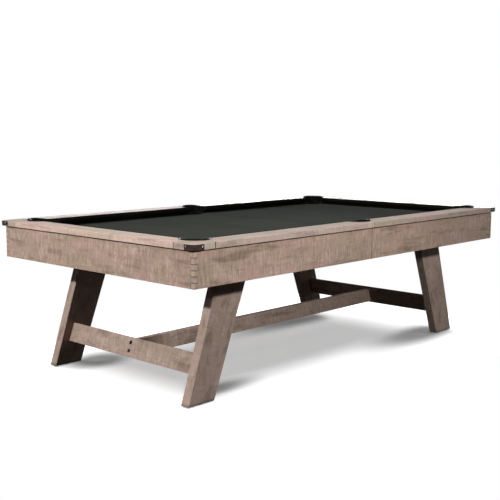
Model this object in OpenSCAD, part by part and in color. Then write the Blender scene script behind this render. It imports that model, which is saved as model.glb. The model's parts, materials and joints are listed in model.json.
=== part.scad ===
// Eight-foot drop-pocket pool table on a splayed trestle base.
// X runs along the table, Z is up, and the origin is on the floor under its centre.
// "left" is the -X end, "right" the +X end, "front" the -Y side and "back" the +Y side.

/* [Playing field] */
// Length of the bed between the cushion noses; the width is half of it
field_l = 2232; // [2200:4:2260]
// Width of a cushion from the wooden rail to its nose
cushion_w = 50; // [47:1:53]
// Height of the cushion nose above the cloth
nose_h = 36; // [35:0.5:37]

/* [Rails] */
// Width of the wooden rail, outer face to cushion
rail_w = 116; // [112:1:124]
// Thickness of the rail board
rail_t = 28; // [26:1:32]
// How far the rails stand out past the aprons
rail_overhang = 16; // [12:1:20]
// Shadow gap between the aprons and the rails
reveal = 5; // [3:1:8]
// Height of the rail tops above the cloth
rail_rise = 43; // [41:1:45]
// Side of the square block at each rail corner
corner_block_l = 125; // [120:1:135]
// Radius on the long edges of the boards
arris_r = 2.5; // [1:0.5:3]

/* [Cabinet] */
// Height of the aprons' lower edge above the floor
apron_z = 581; // [565:1:600]
// Height of the aprons
apron_h = 158; // [150:1:170]
// Thickness of the aprons
apron_t = 20; // [18:1:24]
// Fingers in each corner joint
finger_n = 6; // [4:2:8]
// Thickness of the inner beams
beam_t = 38; // [34:1:42]
// Width of the cross beams
cross_beam_w = 89; // [70:1:100]

/* [Bed] */
// Thickness of the slates
slate_t = 25; // [22:1:28]
// Thickness of the bed cloth
cloth_t = 1; // [0.8:0.1:1.2]

/* [Pockets] */
// Outer radius of the collar's lip
lip_r = 73.5; // [72:0.5:76]
// Height of the lip above the rail tops
lip_rise = 9; // [6:1:12]
// Outer radius of the bucket that hangs through the slate
bucket_r = 54; // [50:1:56]
// Wall of the moulded rubber
rubber_t = 3.5; // [3:0.5:5]
// Distance of a corner pocket's centre behind both nose lines
corner_pocket_back = 18; // [14:1:22]
// Distance of a side pocket's centre behind its nose line
side_pocket_back = 48; // [44:1:52]
// Corner mouth, from cushion point to cushion point
corner_mouth = 124; // [116:1:130]
// Side mouth, from cushion point to cushion point
side_mouth = 132; // [128:1:138]

/* [Legs] */
// Thickness of a leg plank
leg_t = 50; // [44:1:56]
// Distance of a leg's outer face behind the long apron's face
leg_inset = 177; // [165:1:190]
// Distance of the foot's outer edge from the cabinet's end
foot_outer = 130; // [115:1:145]
// Distance of the foot's inner edge from the cabinet's end
foot_inner = 295; // [280:1:310]
// Distance of the leg's outer edge from the cabinet's end at the apron
top_outer = 319; // [305:1:330]
// Distance of the leg's inner edge from the cabinet's end at the apron
top_inner = 521; // [505:1:540]

/* [Stretchers] */
// Height of a cross stretcher's board
stretcher_h = 100; // [90:1:110]
// Thickness of the stretchers
stretcher_t = 30; // [26:1:36]
// Height of a cross stretcher's outer top edge
stretcher_z = 223; // [200:1:250]
// Distance from the leg's outer edge to the cross stretcher, level
stretcher_back = 51; // [40:1:60]
// Height of the long stretcher's board
long_stretcher_h = 83; // [75:1:88]
// Height of the long stretcher's lower edge
long_stretcher_z = 127; // [120:1:135]

/* [Metal] */
// Length of each corner bracket's arm
bracket_l = 58; // [50:1:66]
// Thickness of the bracket steel
bracket_t = 2.5; // [2:0.5:4]
// Distance of a bracket's bolt from the rail corner
bracket_bolt_in = 45; // [40:1:48]
// Furthest travel of a levelling foot
leveller_travel = 12; // [8:1:14]

/* [Hidden] */
$fn = 64;
cut = 1;             // overshoot of a cutting solid
fit = 0.3;           // gap between parts that meet
seam = 1;            // gap at a butt seam between boards
seam_v = 1.8;        // depth of the V along a seam
field_w = field_l / 2;
nose_x = field_l / 2;
nose_y = field_w / 2;
wood_x = nose_x + cushion_w;
wood_y = nose_y + cushion_w;
rail_x = wood_x + rail_w;
rail_y = wood_y + rail_w;
cab_x = rail_x - rail_overhang;
cab_y = rail_y - rail_overhang;
apron_top = apron_z + apron_h;
rail_z = apron_top + reveal;
rail_top = rail_z + rail_t;
bed_z = rail_top - rail_rise;
slate_top = bed_z - cloth_t;
slate_z = slate_top - slate_t;
inner_x = cab_x - apron_t;
inner_y = cab_y - apron_t;
slate_gap = 2;
slate_x = inner_x - slate_gap;
slate_y = inner_y - slate_gap;
slate_joint_x = slate_x / 3;
riser_in = rail_overhang + apron_t + slate_gap + 2;

leg_y = cab_y - leg_inset;
leg_in_y = leg_y - leg_t;
beam_top = slate_z - beam_t;
beam_z = apron_z + 4;
leg_z = 6;
leg_lean_out = (top_outer - foot_outer) / apron_z;
leg_lean_in = (top_inner - foot_inner) / apron_z;
function leg_out_x(z) = cab_x - foot_outer - leg_lean_out * z;
function leg_in_x(z) = cab_x - foot_inner - leg_lean_in * z;
function leg_mid_x(z) = (leg_out_x(z) + leg_in_x(z)) / 2;
tilt = atan((leg_lean_out + leg_lean_in) / 2);
stretcher_x = leg_out_x(stretcher_z) - stretcher_back;
tenon_l = 25;
tenon_in = 12;

collar_r = lip_r - 2.5;
collar_in_r = lip_r - 9.5;
wood_cut_r = collar_r + fit;
collar_z = slate_top + fit;
bucket_z = apron_z + 19;
corner_px = nose_x + corner_pocket_back;
corner_py = nose_y + corner_pocket_back;
side_py = nose_y + side_pocket_back;
corner_reach = 33;   // collar's reach past the pocket centre towards the field, corner
side_reach = 13;     // the same, side pocket
corner_point = corner_mouth / sqrt(2);
corner_facing = 38;  // facing's angle from the nose line, corner
side_facing = 104;   // the same, side pocket

rail_bolt_in = 78;
rail_bolt_r = 5;
rail_bolt_x = [160, 610, 900];
rail_bolt_y = [-380, 0, 380];
end_beam_x = 1000;
slate_screw_y = [-640, -280, 280, 640];
slate_screw_in = 25;
leg_bolt_r = 5;
leg_bolt_z = [612, 642];
leg_bolt_off = 55;
leveller_x = leg_mid_x(0) - 4;
leveller_y = leg_y - leg_t / 2;
leveller_r = 5;
insert_r = 8;
insert_l = 26;

WOOD = [0.62, 0.54, 0.47];
RAIL_WOOD = [0.72, 0.64, 0.58];
FELT = [0.24, 0.25, 0.24];
RUBBER = [0.06, 0.06, 0.06];
BRONZE = [0.16, 0.13, 0.11];
STEEL = [0.6, 0.6, 0.6];
PINE = [0.75, 0.62, 0.45];
STONE = [0.35, 0.36, 0.38];

// ---- helpers -------------------------------------------------------------

// Points of a round corner: centre, radius and first angle of a quarter turn
function corner_arc(x, y, r, a0) = [for (i = [0:3]) [x + r * cos(a0 + i * 30), y + r * sin(a0 + i * 30)]];

// Outline of a board's section with round corners, lower left corner at [x, y]
function board_points(x, y, w, h, r) = concat(
    corner_arc(x + r, y + r, r, 180),
    corner_arc(x + w - r, y + r, r, 270),
    corner_arc(x + w - r, y + h - r, r, 0),
    corner_arc(x + r, y + h - r, r, 90));

// Pushes a (y, z) outline along X from x0 to x1
module along_x(x0, x1) {
    translate([x0, 0, 0]) rotate([90, 0, 90]) linear_extrude(x1 - x0) children();
}

// Pushes an (x, z) outline along Y from y0 to y1
module along_y(y0, y1) {
    translate([0, y1, 0]) rotate([90, 0, 0]) linear_extrude(y1 - y0) children();
}

// Moves a piece made for the +X +Y quarter to the quarter with signs sx, sy
module quarter(sx, sy) {
    mirror([sx < 0 ? 1 : 0, 0, 0]) mirror([0, sy < 0 ? 1 : 0, 0]) children();
}

module four_quarters() {
    for (sx = [-1, 1], sy = [-1, 1]) quarter(sx, sy) children();
}

// Square bar turned 45 degrees about the vertical edge at [x, y]: cuts a V
module edge_v(x, y, z0, z1, v) {
    translate([x, y, z0]) rotate([0, 0, 45])
        translate([-v * 0.707, -v * 0.707, 0]) cube([v * 1.414, v * 1.414, z1 - z0]);
}

// Frame whose X axis is a cross stretcher's outer normal and Z runs up its face
module stretcher_frame() {
    translate([stretcher_x, 0, stretcher_z]) rotate([0, -tilt, 0]) children();
}

// ---- cabinet -------------------------------------------------------------

finger_h = apron_h / finger_n;

// Corner slots of every second finger, counted from the bottom, starting at first
module finger_slots(first, over) {
    for (i = [first:2:finger_n - 1])
        translate([inner_x - over[0], inner_y - over[1], apron_z + i * finger_h - fit / 2])
            cube([apron_t + over[0] + cut, apron_t + over[1] + cut, finger_h + fit]);
}

module long_apron() {
    difference() {
        along_x(seam / 2, cab_x)
            polygon(board_points(inner_y, apron_z, apron_t, apron_h, arris_r / 2));
        finger_slots(1, [fit / 2, cut]);
        edge_v(seam / 2, cab_y, apron_z - cut, apron_top + cut, seam_v);
    }
}

module end_apron() {
    difference() {
        along_y(-cab_y, cab_y)
            polygon(board_points(inner_x, apron_z, apron_t, apron_h, arris_r / 2));
        for (sy = [-1, 1]) quarter(1, sy) finger_slots(0, [cut, fit / 2]);
    }
}

module long_beam() {
    difference() {
        along_x(fit - inner_x, inner_x - fit)
            polygon(board_points(leg_in_y - beam_t, beam_z, beam_t, beam_top - beam_z, arris_r));
        for (sx = [-1, 1]) quarter(sx, 1) leg_bolt_holes(leg_bolt_r + fit);
    }
}

module cross_beam(x, screws_x) {
    difference() {
        along_y(fit - inner_y, inner_y - fit)
            polygon(board_points(x - cross_beam_w / 2, beam_top, cross_beam_w, beam_t, arris_r));
        for (sx = screws_x, y = slate_screw_y)
            translate([sx, y, slate_z - 26]) cylinder(h = 26 + cut, r = 2.1);
    }
}

angle_l = 40;
angle_t = 3;
angle_w = 30;

// Steel angle: one arm on the wall at x = 0, the other along y = 0
module steel_angle() {
    difference() {
        union() {
            cube([angle_t, angle_l, angle_w]);
            cube([angle_l, angle_t, angle_w]);
        }
        translate([-cut, angle_l * 0.65, angle_w / 2]) rotate([0, 90, 0])
            cylinder(h = angle_t + 2 * cut, r = 2.5);
        translate([angle_l * 0.65, -cut, angle_w / 2]) rotate([-90, 0, 0])
            cylinder(h = angle_t + 2 * cut, r = 2.5);
    }
}

// Angles that tie the cross beams to the long aprons and the long beams to the end aprons
module beam_angles() {
    color(STEEL) four_quarters() {
        for (x = [slate_joint_x, end_beam_x])
            translate([x + cross_beam_w / 2 + fit, inner_y - fit, beam_top + 4])
                mirror([0, 1, 0]) steel_angle();
        translate([inner_x - fit, leg_in_y - beam_t - fit, beam_z + 25])
            mirror([1, 0, 0]) mirror([0, 1, 0]) steel_angle();
    }
}

// ---- bed -----------------------------------------------------------------

module pocket_centres() {
    for (sx = [-1, 1], sy = [-1, 1]) quarter(sx, sy) translate([corner_px, corner_py, 0]) children();
    for (sy = [-1, 1]) quarter(1, sy) translate([0, side_py, 0]) children();
}

module rail_bolt_places() {
    for (sx = [-1, 1], sy = [-1, 1], x = rail_bolt_x)
        translate([sx * x, sy * (rail_y - rail_bolt_in), 0]) children();
    for (sx = [-1, 1], y = rail_bolt_y)
        translate([sx * (rail_x - rail_bolt_in), y, 0]) children();
}

module slate_screw_places() {
    for (sx = [-1, 1], y = slate_screw_y) {
        for (off = [-slate_screw_in, slate_screw_in])
            translate([sx * slate_joint_x + off, y, 0]) children();
        translate([sx * end_beam_x, y, 0]) children();
    }
}

screw_r = 2;
screw_head_r = 5;
screw_head_h = 3;

// Straight hole with a countersink for one slate screw
module slate_screw_hole() {
    translate([0, 0, slate_z - cut]) cylinder(h = slate_t + 2 * cut, r = screw_r + fit);
    translate([0, 0, slate_top - screw_head_h - fit])
        cylinder(h = screw_head_h + fit + 0.01, r1 = screw_r + fit, r2 = screw_head_r + fit);
    translate([0, 0, slate_top]) cylinder(h = cut, r = screw_head_r + fit);
}

module slate(x0, x1) {
    color(STONE) difference() {
        translate([x0, -slate_y, slate_z]) cube([x1 - x0, 2 * slate_y, slate_t]);
        pocket_centres() translate([0, 0, slate_z - cut])
            cylinder(h = slate_t + 2 * cut, r = bucket_r + fit);
        rail_bolt_places() translate([0, 0, slate_z - cut])
            cylinder(h = slate_t + 2 * cut, r = rail_bolt_r + 1);
        slate_screw_places() slate_screw_hole();
    }
}

module slate_screws() {
    color(STEEL) slate_screw_places() {
        translate([0, 0, slate_z - 25]) cylinder(h = slate_t + 25 - screw_head_h, r = screw_r);
        translate([0, 0, slate_top - screw_head_h - fit])
            cylinder(h = screw_head_h, r1 = screw_r, r2 = screw_head_r);
    }
}

// Area inside radius r and behind the collar's two ends, for a pocket that opens towards -Y
module collar_area(r, reach) {
    intersection() {
        circle(r = r);
        translate([-r, -reach]) square([2 * r, r + reach]);
    }
}

module at_corner_pocket() {
    translate([corner_px, corner_py, 0]) rotate([0, 0, -45]) children();
}

module at_side_pocket() {
    translate([0, side_py, 0]) children();
}

module bed_cloth() {
    color(FELT) difference() {
        translate([fit - wood_x, fit - wood_y, slate_top])
            cube([2 * (wood_x - fit), 2 * (wood_y - fit), cloth_t]);
        pocket_centres() translate([0, 0, slate_top - cut])
            cylinder(h = cloth_t + 2 * cut, r = bucket_r + fit);
        translate([0, 0, slate_top - cut]) linear_extrude(cloth_t + 2 * cut) {
            for (sx = [-1, 1], sy = [-1, 1]) quarter(sx, sy)
                at_corner_pocket() collar_area(wood_cut_r, corner_reach + fit);
            for (sy = [-1, 1]) quarter(1, sy)
                at_side_pocket() collar_area(wood_cut_r, side_reach + fit);
        }
    }
}

// ---- pockets -------------------------------------------------------------

lip_top = rail_top + lip_rise;

// Section of the collar: wall behind the wood and a round lip over it
collar_section = concat(
    [[collar_in_r, collar_z], [collar_r, collar_z], [collar_r, rail_top + fit], [lip_r, rail_top + fit]],
    [for (a = [0:30:180])
        [(lip_r + collar_in_r) / 2 + (lip_r - collar_in_r) / 2 * cos(a), lip_top - 5 + 5 * sin(a)]]);

// One moulded pocket that opens towards -Y: collar, shelf and bucket
module pocket_moulding(reach) {
    difference() {
        rotate_extrude() union() {
            polygon(collar_section);
            translate([bucket_r - rubber_t, collar_z]) square([collar_r - bucket_r + rubber_t, rubber_t]);
        }
        translate([-lip_r - cut, -lip_r - cut, collar_z - cut])
            cube([2 * (lip_r + cut), lip_r + cut - reach, lip_top - collar_z + 2 * cut]);
    }
    difference() {
        translate([0, 0, bucket_z]) cylinder(h = slate_top - bucket_z, r = bucket_r);
        translate([0, 0, bucket_z + rubber_t])
            cylinder(h = slate_top - bucket_z + cut, r = bucket_r - rubber_t);
    }
    // neck that joins the bucket to the shelf behind the hole
    difference() {
        translate([0, 0, slate_top - rubber_t])
            cylinder(h = collar_z + rubber_t - slate_top + rubber_t, r = bucket_r);
        translate([0, 0, slate_top - 2 * rubber_t])
            cylinder(h = 4 * rubber_t, r = bucket_r - rubber_t);
        translate([-lip_r, -lip_r - reach, slate_top])
            cube([2 * lip_r, lip_r, 3 * rubber_t]);
    }
}

module corner_pocket(sx, sy) {
    color(RUBBER) quarter(sx, sy) at_corner_pocket() pocket_moulding(corner_reach);
}

module side_pocket(sy) {
    color(RUBBER) quarter(1, sy) at_side_pocket() pocket_moulding(side_reach);
}

// Cuts the wood and the cushions clear of the collars
module pocket_cuts(extra) {
    pocket_centres() translate([0, 0, slate_top - cut])
        cylinder(h = rail_rise + 3 * cut, r = wood_cut_r + extra);
}

// ---- rails ---------------------------------------------------------------

// Section of a rail, s from its outer face inward: a board on a set-back riser
function rail_section(w) = concat(
    [[riser_in, slate_top], [w, slate_top], [w, rail_top]],
    corner_arc(arris_r + 0.5, rail_top - arris_r - 0.5, arris_r + 0.5, 90),
    corner_arc(arris_r, rail_z + arris_r, arris_r, 180),
    [[riser_in, rail_z]]);

module rail_bolt_bores() {
    rail_bolt_places() translate([0, 0, slate_top - cut]) cylinder(h = 31, r = rail_bolt_r + 0.05);
}

module long_rail() {
    x1 = rail_x - corner_block_l - seam / 2;
    difference() {
        along_x(seam / 2, x1) translate([rail_y, 0]) mirror([1, 0]) polygon(rail_section(rail_w));
        pocket_cuts(0);
        rail_bolt_bores();
        edge_v(seam / 2, rail_y, rail_z - cut, rail_top + cut, seam_v);
        edge_v(x1, rail_y, rail_z - cut, rail_top + cut, seam_v);
    }
}

module end_rail() {
    y1 = rail_y - corner_block_l - seam / 2;
    difference() {
        along_y(-y1, y1) translate([rail_x, 0]) mirror([1, 0]) polygon(rail_section(rail_w));
        pocket_cuts(0);
        rail_bolt_bores();
        for (sy = [-1, 1]) edge_v(rail_x, sy * y1, rail_z - cut, rail_top + cut, seam_v);
    }
}

corner_r = 10;

module corner_block() {
    x0 = rail_x - corner_block_l + seam / 2;
    y0 = rail_y - corner_block_l + seam / 2;
    difference() {
        intersection() {
            along_x(x0, rail_x)
                translate([rail_y, 0]) mirror([1, 0]) polygon(rail_section(corner_block_l));
            along_y(y0, rail_y)
                translate([rail_x, 0]) mirror([1, 0]) polygon(rail_section(corner_block_l));
            translate([0, 0, slate_top - cut]) linear_extrude(rail_rise + 2 * cut)
                polygon(concat([[x0, y0], [rail_x, y0]],
                    corner_arc(rail_x - corner_r, rail_y - corner_r, corner_r, 0),
                    [[x0, rail_y]]));
        }
        pocket_cuts(0);
        edge_v(x0, rail_y, rail_z - cut, rail_top + cut, seam_v);
        edge_v(rail_x, y0, rail_z - cut, rail_top + cut, seam_v);
        bracket_bolt_holes(bracket_bolt_r + 0.05);
    }
}

// ---- cushions ------------------------------------------------------------

nose_z = bed_z + nose_h;

// Section of a cushion, s from its nose back to the wood
cushion_section = [
    [0, nose_z - 1.5], [2, nose_z - 4.5], [5, nose_z - 7],
    [cushion_w * 0.55, bed_z + 13], [cushion_w, bed_z + 6],
    [cushion_w, rail_top - 0.8], [cushion_w * 0.4, rail_top - 1.4],
    [7, nose_z + 4.6], [2, nose_z + 3.4], [0, nose_z + 1.5]];

facing_l = 140;

// Takes away the cushion past a corner facing that starts at the nose point [x, y]
module corner_facing_cut(x, y) {
    translate([x, y, bed_z]) rotate([0, 0, corner_facing])
        translate([-facing_l / 2, -facing_l, 0]) cube([2 * facing_l, facing_l, rail_rise + cut]);
}

module long_cushion() {
    difference() {
        along_x(0, nose_x) translate([nose_y, 0]) polygon(cushion_section);
        corner_facing_cut(nose_x - corner_point, nose_y);
        translate([side_mouth / 2, nose_y, bed_z]) rotate([0, 0, side_facing])
            translate([-facing_l / 2, 0, 0]) cube([2 * facing_l, facing_l, rail_rise + cut]);
        pocket_cuts(fit);
    }
}

module end_cushion() {
    difference() {
        along_y(-nose_y, nose_y) translate([nose_x, 0]) polygon(cushion_section);
        for (sy = [-1, 1]) mirror([0, sy < 0 ? 1 : 0, 0])
            mirror([1, -1, 0]) corner_facing_cut(nose_y - corner_point, nose_x);
        pocket_cuts(fit);
    }
}

// ---- base ----------------------------------------------------------------

leg_bolt_l = 80;

// Bolt axes of one leg, from the beam's inner face towards +Y
module leg_bolt_places() {
    for (z = leg_bolt_z, off = [-leg_bolt_off, leg_bolt_off])
        translate([leg_mid_x(z) + off, leg_in_y - beam_t, z]) rotate([-90, 0, 0]) children();
}

module leg_bolt_holes(r) {
    leg_bolt_places() translate([0, 0, -cut]) cylinder(h = leg_bolt_l + 2 * cut, r = r);
}

// Long 45-degree cut along a leg's edge between two heights, at the face y
module leg_arris(x0, x1, y) {
    translate([x0, y, leg_z]) rotate([0, atan2(x1 - x0, beam_top - leg_z), 0])
        rotate([0, 0, 45]) translate([0, 0, (beam_top - leg_z) / 2])
            cube([arris_r * 1.2, arris_r * 1.2, beam_top * 1.3], center = true);
}

module leg() {
    difference() {
        along_y(leg_in_y, leg_y) polygon([
            [leg_in_x(leg_z), leg_z], [leg_out_x(leg_z), leg_z],
            [leg_out_x(beam_top), beam_top], [leg_in_x(beam_top), beam_top]]);
        for (y = [leg_in_y, leg_y]) {
            leg_arris(leg_out_x(leg_z), leg_out_x(beam_top), y);
            leg_arris(leg_in_x(leg_z), leg_in_x(beam_top), y);
        }
        leg_bolt_holes(leg_bolt_r + 0.05);
        stretcher_frame() translate([0, leg_in_y - cut, 0]) tenon(tenon_l + 2 * cut, fit);
        translate([leveller_x, leveller_y, leg_z - cut]) {
            cylinder(h = insert_l + cut + fit, r = insert_r + 0.05);
            cylinder(h = 60, r = leveller_r + 0.6);
        }
    }
}

// Tenon on a cross stretcher's end, in the stretcher's frame, along +Y
module tenon(l, grow) {
    translate([-stretcher_t * 0.75 - grow, 0, tenon_in - stretcher_h - grow])
        cube([stretcher_t / 2 + 2 * grow, l, stretcher_h - 2 * tenon_in + 2 * grow]);
}

module cross_stretcher() {
    difference() {
        stretcher_frame() {
            along_y(fit - leg_in_y, leg_in_y - fit)
                polygon(board_points(-stretcher_t, -stretcher_h, stretcher_t, stretcher_h, arris_r));
            for (sy = [-1, 1]) mirror([0, sy < 0 ? 1 : 0, 0])
                translate([0, leg_in_y - 2, 0]) tenon(tenon_l, 0);
        }
        stretcher_bolt_holes();
    }
}

stretcher_bolt_r = 4;
stretcher_bolt_l = 60;
stretcher_bolt_head_r = 7.5;
stretcher_bolt_z = [-27, -69];

module stretcher_bolt_places() {
    stretcher_frame() for (z = stretcher_bolt_z) translate([0, 0, z]) rotate([0, -90, 0]) children();
}

module stretcher_bolt_holes() {
    stretcher_bolt_places() translate([0, 0, -cut])
        cylinder(h = stretcher_bolt_l + 2 * cut, r = stretcher_bolt_r + 0.05);
}

// Everything outside a cross stretcher's inner face
module beyond_stretcher() {
    stretcher_frame() translate([-stretcher_t - fit, -stretcher_h, -2 * stretcher_h])
        cube([3 * stretcher_h, 2 * stretcher_h, 3 * stretcher_h]);
}

module long_stretcher() {
    color(WOOD) difference() {
        along_x(-stretcher_x - stretcher_h, stretcher_x + stretcher_h)
            polygon(board_points(-stretcher_t / 2, long_stretcher_z, stretcher_t, long_stretcher_h, arris_r));
        for (sx = [-1, 1]) quarter(sx, 1) {
            beyond_stretcher();
            stretcher_bolt_holes();
        }
    }
}

module stretcher_bolts() {
    color(BRONZE) for (sx = [-1, 1]) quarter(sx, 1) stretcher_bolt_places() {
        cylinder(h = stretcher_bolt_l, r = stretcher_bolt_r);
        dome_head(stretcher_bolt_head_r, 4.5);
    }
}

// ---- feet ----------------------------------------------------------------

pad_r = 20;
pad_t = 4;
stem_top = 48;

// Levelling foot: a pad, a collar and a threaded stem
module leveller(sx, sy) {
    color(STEEL) quarter(sx, sy) translate([leveller_x, leveller_y, 0]) {
        cylinder(h = pad_t, r = pad_r);
        cylinder(h = stem_top, r = leveller_r);
    }
}

module leveller_inserts() {
    color(STEEL) four_quarters() translate([leveller_x, leveller_y, leg_z]) difference() {
        cylinder(h = insert_l, r = insert_r);
        translate([0, 0, -cut]) cylinder(h = insert_l + 2 * cut, r = leveller_r + 0.08);
    }
}

// ---- corner brackets and bolts -------------------------------------------

bracket_bolt_r = 3;
bracket_z = rail_z + 1;
bracket_h = rail_t - 3.5;
bolt_mid_z = rail_z + rail_t / 2;

// Corner outline that stands out from the rails by t, with arms of length l
module corner_outline(t, l) {
    x = rail_x + t;
    y = rail_y + t;
    r = corner_r + t;
    polygon(concat([[rail_x - l, rail_y - l], [x, rail_y - l]], corner_arc(x - r, y - r, r, 0),
        [[rail_x - l, y]]));
}

module corner_bracket(sx, sy) {
    color(BRONZE) quarter(sx, sy) difference() {
        translate([0, 0, bracket_z]) linear_extrude(bracket_h) difference() {
            corner_outline(bracket_t, bracket_l);
            corner_outline(0, bracket_l + cut);
        }
        bracket_bolt_holes(bracket_bolt_r + fit);
    }
}

// The two bolt axes of one bracket, each starting on the rail face and going inward
module bracket_bolt_places() {
    translate([rail_x, rail_y - bracket_bolt_in, bolt_mid_z]) rotate([0, -90, 0]) children();
    translate([rail_x - bracket_bolt_in, rail_y, bolt_mid_z]) rotate([90, 0, 0]) children();
}

module bracket_bolt_holes(r) {
    bracket_bolt_places() translate([0, 0, -2 * bracket_t]) cylinder(h = 30 + 2 * bracket_t, r = r);
}

// Shallow dome that stands out towards -Z from z = 0
module dome_head(r, h) {
    sphere_r = (r * r + h * h) / (2 * h);
    difference() {
        translate([0, 0, sphere_r - h]) sphere(r = sphere_r);
        translate([-2 * sphere_r, -2 * sphere_r, 0]) cube([4 * sphere_r, 4 * sphere_r, 3 * sphere_r]);
    }
}

module bracket_bolts() {
    color(BRONZE) four_quarters() bracket_bolt_places() {
        translate([0, 0, -bracket_t]) cylinder(h = 28, r = bracket_bolt_r);
        translate([0, 0, -bracket_t]) dome_head(6.5, 4);
    }
}

// Hexagon head that stands out towards -Z from z = 0
module hex_head(r, h) {
    translate([0, 0, -h]) cylinder(h = h, r = r, $fn = 6);
}

module leg_bolts() {
    color(STEEL) four_quarters() leg_bolt_places() {
        cylinder(h = leg_bolt_l, r = leg_bolt_r);
        hex_head(9, 7);
    }
}

module rail_bolts() {
    color(STEEL) rail_bolt_places() translate([0, 0, slate_z]) {
        cylinder(h = slate_t + 28, r = rail_bolt_r);
        translate([0, 0, -2.5]) cylinder(h = 2.5, r = 13);
        translate([0, 0, -2.5]) hex_head(9, 7);
    }
}

// ---- nodes ---------------------------------------------------------------

module apron(sx, sy) color(WOOD) quarter(sx, sy) long_apron();
module apron_end(sx) color(WOOD) quarter(sx, 1) end_apron();
module rail(sx, sy) color(RAIL_WOOD) quarter(sx, sy) long_rail();
module rail_end(sx) color(RAIL_WOOD) quarter(sx, 1) end_rail();
module block(sx, sy) color(RAIL_WOOD) quarter(sx, sy) corner_block();
module cushion(sx, sy) color(FELT) quarter(sx, sy) long_cushion();
module cushion_end(sx) color(FELT) quarter(sx, 1) end_cushion();
module leg_node(sx, sy) color(WOOD) quarter(sx, sy) leg();
module cross_stretcher_node(sx) color(WOOD) quarter(sx, 1) cross_stretcher();
module long_beam_node(sy) color(PINE) quarter(1, sy) long_beam();
module end_beam(sx) color(PINE) quarter(sx, 1) cross_beam(end_beam_x, [end_beam_x]);
module joint_beam(sx) color(PINE) quarter(sx, 1)
    cross_beam(slate_joint_x, [slate_joint_x - slate_screw_in, slate_joint_x + slate_screw_in]);

apron(-1, -1);  // apron_front_left
apron(1, -1);  // apron_front_right
apron(-1, 1);  // apron_back_left
apron(1, 1);  // apron_back_right
apron_end(-1);  // apron_end_left
apron_end(1);  // apron_end_right
rail(-1, -1);  // rail_front_left
rail(1, -1);  // rail_front_right
rail(-1, 1);  // rail_back_left
rail(1, 1);  // rail_back_right
rail_end(-1);  // rail_end_left
rail_end(1);  // rail_end_right
block(-1, -1);  // corner_block_front_left
block(1, -1);  // corner_block_front_right
block(-1, 1);  // corner_block_back_left
block(1, 1);  // corner_block_back_right
cushion(-1, -1);  // cushion_front_left
cushion(1, -1);  // cushion_front_right
cushion(-1, 1);  // cushion_back_left
cushion(1, 1);  // cushion_back_right
cushion_end(-1);  // cushion_end_left
cushion_end(1);  // cushion_end_right
slate(-slate_x, -slate_joint_x - fit / 2);  // slate_left
slate(fit / 2 - slate_joint_x, slate_joint_x - fit / 2);  // slate_middle
slate(slate_joint_x + fit / 2, slate_x);  // slate_right
bed_cloth();
corner_pocket(-1, -1);  // pocket_front_left
side_pocket(-1);  // pocket_front_middle
corner_pocket(1, -1);  // pocket_front_right
corner_pocket(-1, 1);  // pocket_back_left
side_pocket(1);  // pocket_back_middle
corner_pocket(1, 1);  // pocket_back_right
corner_bracket(-1, -1);  // corner_bracket_front_left
corner_bracket(1, -1);  // corner_bracket_front_right
corner_bracket(-1, 1);  // corner_bracket_back_left
corner_bracket(1, 1);  // corner_bracket_back_right
leg_node(-1, -1);  // leg_front_left
leg_node(1, -1);  // leg_front_right
leg_node(-1, 1);  // leg_back_left
leg_node(1, 1);  // leg_back_right
cross_stretcher_node(-1);  // cross_stretcher_left
cross_stretcher_node(1);  // cross_stretcher_right
long_stretcher();
long_beam_node(-1);  // long_beam_front
long_beam_node(1);  // long_beam_back
end_beam(-1);  // cross_beam_end_left
joint_beam(-1);  // cross_beam_joint_left
joint_beam(1);  // cross_beam_joint_right
end_beam(1);  // cross_beam_end_right
leveller(-1, -1);  // leveller_front_left
leveller(1, -1);  // leveller_front_right
leveller(-1, 1);  // leveller_back_left
leveller(1, 1);  // leveller_back_right
leveller_inserts();
beam_angles();
slate_screws();
rail_bolts();
leg_bolts();
stretcher_bolts();
bracket_bolts();
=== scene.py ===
"""Looks of the drop-pocket pool table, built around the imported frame. Metres throughout."""

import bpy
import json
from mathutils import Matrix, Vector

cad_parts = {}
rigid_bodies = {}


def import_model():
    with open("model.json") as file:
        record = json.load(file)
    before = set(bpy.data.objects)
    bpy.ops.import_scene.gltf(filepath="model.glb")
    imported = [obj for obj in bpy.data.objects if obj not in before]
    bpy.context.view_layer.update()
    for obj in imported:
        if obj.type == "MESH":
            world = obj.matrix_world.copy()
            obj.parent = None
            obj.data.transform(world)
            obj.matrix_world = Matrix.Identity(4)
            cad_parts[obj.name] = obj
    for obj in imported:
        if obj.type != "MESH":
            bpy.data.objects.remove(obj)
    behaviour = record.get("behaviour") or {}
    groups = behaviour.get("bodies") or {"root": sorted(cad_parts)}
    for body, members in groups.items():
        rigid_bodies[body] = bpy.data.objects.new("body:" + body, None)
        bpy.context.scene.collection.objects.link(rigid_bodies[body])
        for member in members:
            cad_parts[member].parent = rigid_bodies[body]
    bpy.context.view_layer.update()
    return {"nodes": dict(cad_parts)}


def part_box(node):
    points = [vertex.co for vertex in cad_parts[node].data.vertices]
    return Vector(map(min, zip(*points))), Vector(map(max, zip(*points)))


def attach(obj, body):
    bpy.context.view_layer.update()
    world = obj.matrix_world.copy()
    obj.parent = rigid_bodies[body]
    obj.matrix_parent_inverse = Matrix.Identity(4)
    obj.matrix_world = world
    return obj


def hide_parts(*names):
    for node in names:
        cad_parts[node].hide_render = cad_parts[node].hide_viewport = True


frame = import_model()

import json
import math

import bmesh
import bpy
from mathutils import Euler, Matrix, Vector, noise

scene = bpy.context.scene
nodes = frame["nodes"]
SIDES = ("front", "back")
ENDS = ("left", "right")
sign = {"left": -1, "right": 1, "front": -1, "back": 1}


def box(name):
    lo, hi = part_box(name)
    return Vector(lo), Vector(hi)


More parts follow.
